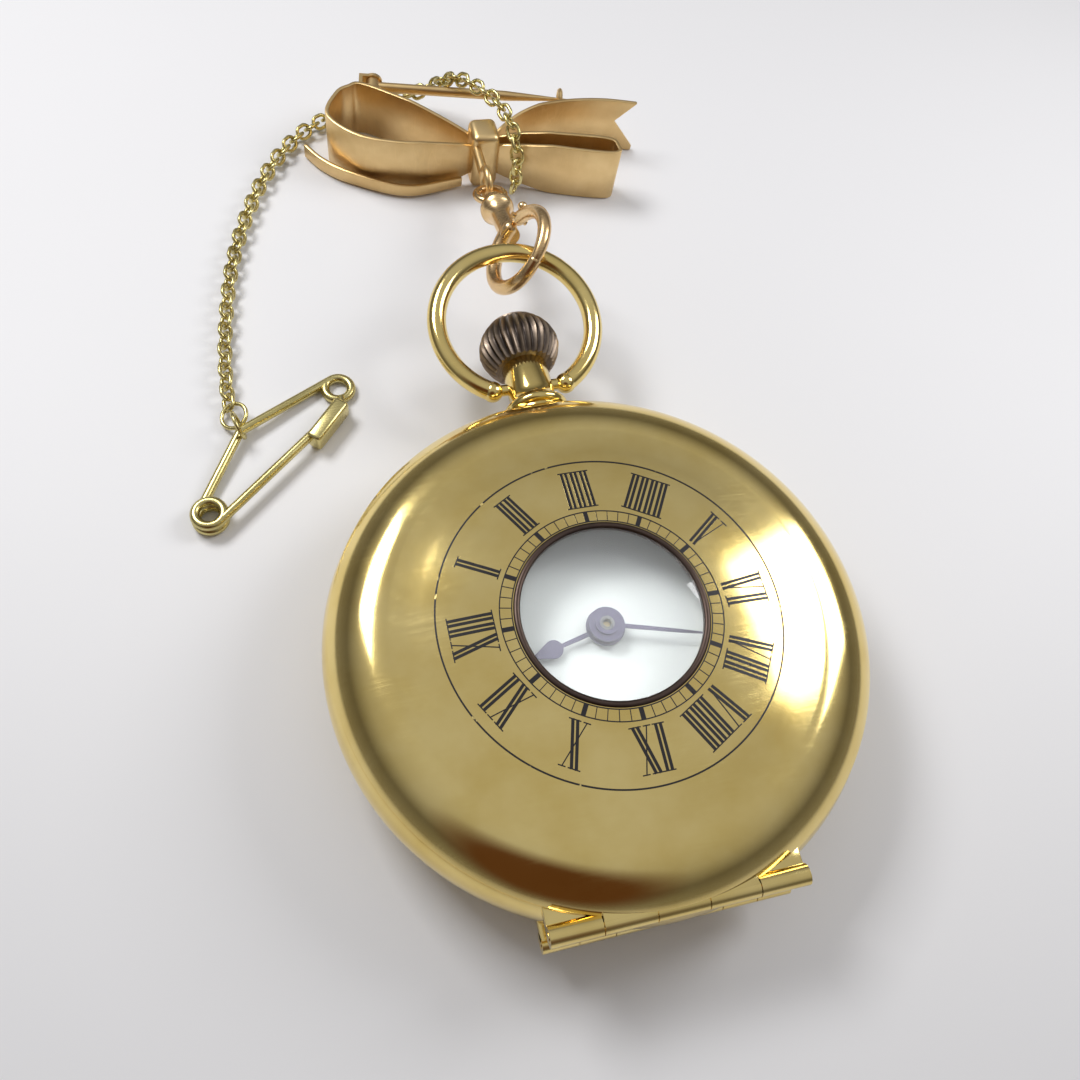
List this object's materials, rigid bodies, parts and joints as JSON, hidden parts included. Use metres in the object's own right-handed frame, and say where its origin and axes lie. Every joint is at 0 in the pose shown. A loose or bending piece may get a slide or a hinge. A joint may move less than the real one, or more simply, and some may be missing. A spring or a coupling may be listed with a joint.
{
  "type": "half hunter pocket watch",
  "caption": "Half hunter pocket watch with a keyless movement, on a swivel hook with a ribbon bow brooch and a safety chain.",
  "frame": {"origin": "middle of the back cover's flat, on which the watch lies", "axes": "+Z out through the dial, +Y from the dial's middle to the crown, +X to the right"},
  "size_m": [0.0411, 0.0712, 0.0103],
  "materials": {
    "case_gold": "polished yellow gold with fine scratches",
    "swivel_gold": "polished reddish gold",
    "brooch_gold": "satin reddish gold",
    "chain_gold": "worn greenish gold",
    "crown_gold": "dark worn ribbed gold",
    "bronze": "dark bronzed rim",
    "gilt": "frosted gilt",
    "wheel_brass": "polished brass",
    "steel": "brushed steel",
    "blued_steel": "blued steel",
    "enamel": "glossy white enamel",
    "glass": "clear glass",
    "ruby": "polished ruby"
  },
  "bodies": {
    "case": {"case_band": "case_gold", "front_joint_pin": "case_gold", "back_joint_pin": "case_gold", "bezel": "case_gold", "crystal": "glass", "main_plate": "gilt", "barrel_bridge": "gilt", "train_bridge": "gilt", "balance_cock": "gilt", "pallet_cock": "gilt", "jewels": "ruby", "bridge_screws": "blued_steel", "case_screws": "blued_steel", "dial": "enamel", "click_post": "steel", "lock_spring": "steel", "lift_spring": "steel", "pendant_sleeve": "steel", "safety_pin_frame": "chain_gold", "chain_links": "chain_gold", "jump_rings": "chain_gold"},
    "front": {"front_cover": "case_gold", "window_rim": "bronze", "window_glass": "glass"},
    "back": {"back_cover": "case_gold"},
    "dust_cover": {"cuvette": "case_gold"},
    "winding": {"winding_pinion": "steel", "clutch_wheel": "steel"},
    "crown": {"crown": "crown_gold", "stem": "steel"},
    "crown_wheel": {"crown_wheel": "steel"},
    "ratchet": {"ratchet_wheel": "steel"},
    "click": {"click": "steel"},
    "minute": {"minute_hand": "blued_steel", "cannon_pinion": "steel"},
    "minute_wheel": {"minute_wheel": "wheel_brass"},
    "hour": {"hour_hand": "blued_steel", "hour_wheel": "wheel_brass"},
    "escape": {"escape_wheel": "wheel_brass"},
    "fourth": {"fourth_wheel": "wheel_brass"},
    "third": {"third_wheel": "wheel_brass"},
    "centre": {"centre_wheel": "wheel_brass"},
    "barrel": {"barrel": "wheel_brass", "mainspring": "steel"},
    "fork": {"pallet_fork": "steel"},
    "balance": {"balance_wheel": "wheel_brass", "hairspring": "blued_steel"},
    "bow": {"bow": "case_gold"},
    "hook": {"swivel_hook": "swivel_gold"},
    "gate": {"swivel_gate": "swivel_gold"},
    "eye": {"swivel_eye": "swivel_gold"},
    "brooch": {"brooch_left_loop": "brooch_gold", "brooch_right_loop": "brooch_gold", "brooch_right_tail": "brooch_gold", "brooch_left_tail": "brooch_gold", "brooch_knot": "brooch_gold", "brooch_pin_joint": "brooch_gold", "brooch_catch": "brooch_gold"},
    "brooch_pin": {"brooch_pin": "brooch_gold"},
    "safety_arm": {"safety_pin_arm": "chain_gold"}
  },
  "joints": [
    {"name": "front_cover_hinge", "type": "hinge", "parent": "case", "child": "front", "pos_m": [0, -0.01625, 0.00653], "axis": [1, 0, 0], "range_deg": [0, 100]},
    {"name": "back_cover_hinge", "type": "hinge", "parent": "case", "child": "back", "pos_m": [0, -0.01625, 0.00308], "axis": [-1, 0, 0], "range_deg": [0, 100]},
    {"name": "cuvette_hinge", "type": "hinge", "parent": "case", "child": "dust_cover", "pos_m": [0, -0.01625, 0.00308], "axis": [-1, 0, 0], "range_deg": [0, 90]},
    {"name": "winding_turn", "type": "hinge", "parent": "case", "child": "winding", "pos_m": [0, 0.014, 0.0048], "axis": [0, 1, 0], "continuous": true},
    {"name": "crown_pull", "type": "slide", "parent": "winding", "child": "crown", "axis": [0, 1, 0], "range_m": [0, 0.0008]},
    {"name": "crown_wheel_turn", "type": "hinge", "parent": "case", "child": "crown_wheel", "pos_m": [0, 0.0086, 0.0012], "axis": [0, 0, 1], "continuous": true},
    {"name": "ratchet_turn", "type": "hinge", "parent": "case", "child": "ratchet", "pos_m": [-0.00485, 0.0028, 0.0012], "axis": [0, 0, 1], "continuous": true},
    {"name": "click_pivot", "type": "hinge", "parent": "case", "child": "click", "pos_m": [-0.0103, 0.00037, 0.0013], "axis": [0, 0, 1], "range_deg": [-12, 12], "stiffness_Nm_per_rad": 0.000001},
    {"name": "minute_turn", "type": "hinge", "parent": "case", "child": "minute", "pos_m": [0, 0, 0.007], "axis": [0, 0, 1], "continuous": true},
    {"name": "minute_wheel_turn", "type": "hinge", "parent": "case", "child": "minute_wheel", "pos_m": [0.00197, -0.00138, 0.0055], "axis": [0, 0, 1], "continuous": true},
    {"name": "hour_turn", "type": "hinge", "parent": "case", "child": "hour", "pos_m": [0, 0, 0.0065], "axis": [0, 0, 1], "continuous": true},
    {"name": "escape_turn", "type": "hinge", "parent": "case", "child": "escape", "pos_m": [0.00836, -0.00233, 0.0035], "axis": [0, 0, 1], "continuous": true},
    {"name": "fourth_turn", "type": "hinge", "parent": "case", "child": "fourth", "pos_m": [0.0054, -0.00341, 0.0035], "axis": [0, 0, 1], "continuous": true},
    {"name": "third_turn", "type": "hinge", "parent": "case", "child": "third", "pos_m": [0.00197, -0.00341, 0.0035], "axis": [0, 0, 1], "continuous": true},
    {"name": "centre_turn", "type": "hinge", "parent": "case", "child": "centre", "pos_m": [0, 0, 0.0035], "axis": [0, 0, 1], "continuous": true},
    {"name": "barrel_turn", "type": "hinge", "parent": "case", "child": "barrel", "pos_m": [-0.00485, 0.0028, 0.0035], "axis": [0, 0, 1], "continuous": true},
    {"name": "fork_rock", "type": "hinge", "parent": "case", "child": "fork", "pos_m": [0.00785, -0.00003, 0.0035], "axis": [0, 0, 1], "range_deg": [-5, 5]},
    {"name": "balance_swing", "type": "hinge", "parent": "case", "child": "balance", "pos_m": [0.00705, 0.00358, 0.0035], "axis": [0, 0, 1], "range_deg": [-130, 130], "stiffness_Nm_per_rad": 0.0000001},
    {"name": "bow_swing", "type": "hinge", "parent": "case", "child": "bow", "pos_m": [0, 0.0193, 0.0048], "axis": [1, 0, 0], "range_deg": [-90, 75], "deforming": ["chain_links"]},
    {"name": "hook_swing", "type": "hinge", "parent": "bow", "child": "hook", "pos_m": [0.0013, 0.02956, 0.00698], "axis": [1, 0, 0], "range_deg": [-40, 40], "deforming": ["chain_links"]},
    {"name": "gate_pivot", "type": "hinge", "parent": "hook", "child": "gate", "pos_m": [0.00199, 0.03252, 0.00737], "axis": [-0.8192, 0.1772, 0.5455], "range_deg": [0, 20], "stiffness_Nm_per_rad": 0.00002},
    {"name": "swivel_turn", "type": "hinge", "parent": "hook", "child": "eye", "pos_m": [0.0013, 0.02965, 0.00727], "axis": [0, 0.9511, -0.309], "continuous": true, "deforming": ["chain_links"]},
    {"name": "brooch_swing", "type": "hinge", "parent": "eye", "child": "brooch", "pos_m": [0.0013, 0.03907, 0.00421], "axis": [1, 0, 0], "range_deg": [-40, 40], "deforming": ["chain_links"]},
    {"name": "brooch_pin_hinge", "type": "hinge", "parent": "brooch", "child": "brooch_pin", "pos_m": [-0.0058, 0.052, 0.0036], "axis": [0.1857, 0.9826, 0], "range_deg": [0, 35]},
    {"name": "safety_pin_spring", "type": "hinge", "parent": "case", "child": "safety_arm", "pos_m": [-0.0228, 0.015, 0.00106], "axis": [0, 0, 1], "range_deg": [0, 12], "stiffness_Nm_per_rad": 0.00002}
  ],
  "couplings": [
    {"joint": "crown_wheel_turn", "follows": "winding_turn", "ratio": 0.66667},
    {"joint": "ratchet_turn", "follows": "winding_turn", "ratio": -0.51613},
    {"joint": "cuvette_hinge", "follows": "back_cover_hinge", "ratio": 0.85},
    {"joint": "minute_wheel_turn", "follows": "minute_turn", "ratio": -0.33333},
    {"joint": "hour_turn", "follows": "minute_turn", "ratio": 0.083333},
    {"joint": "fourth_turn", "follows": "escape_turn", "ratio": -0.13636},
    {"joint": "third_turn", "follows": "escape_turn", "ratio": 0.021212},
    {"joint": "centre_turn", "follows": "escape_turn", "ratio": -0.0029697},
    {"joint": "barrel_turn", "follows": "escape_turn", "ratio": 0.00049495}
  ]
}
